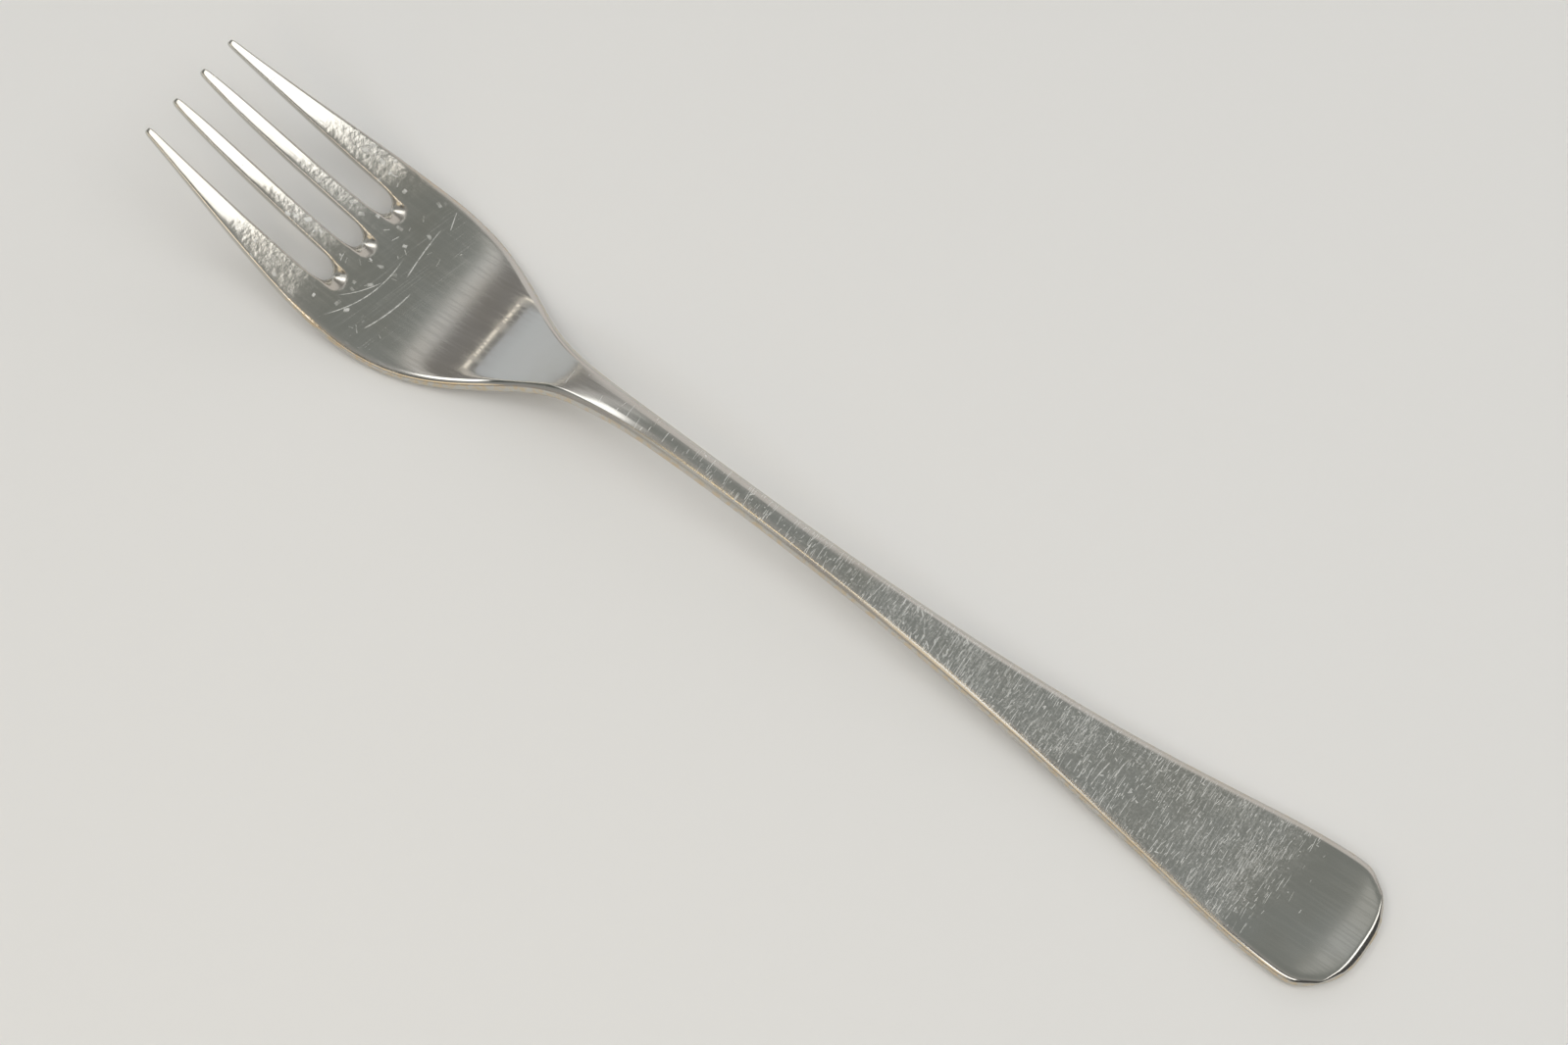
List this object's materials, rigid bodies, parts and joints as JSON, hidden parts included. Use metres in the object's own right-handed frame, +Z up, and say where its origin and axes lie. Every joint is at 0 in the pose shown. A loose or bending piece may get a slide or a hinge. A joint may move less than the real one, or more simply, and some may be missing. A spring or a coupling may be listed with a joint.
{
  "type": "salad fork",
  "caption": "Table fork for salad with tapered tines, a shallow bowl, an arched neck and a plain flat handle that widens to a rounded end.",
  "frame": {"origin": "middle of the length and of the width, on the surface that the fork lies on", "axes": "+X from the handle's end toward the tine tips, +Y across the width, +Z up, out of the hollow of the bowl; y = 0 is the mirror plane"},
  "size_m": [0.1781, 0.0248, 0.016],
  "materials": {
    "worn_silver": "silver-plated metal worn to a soft grey shine with fine scratches"
  },
  "bodies": {
    "root": {"fork": "worn_silver"}
  },
  "joints": []
}
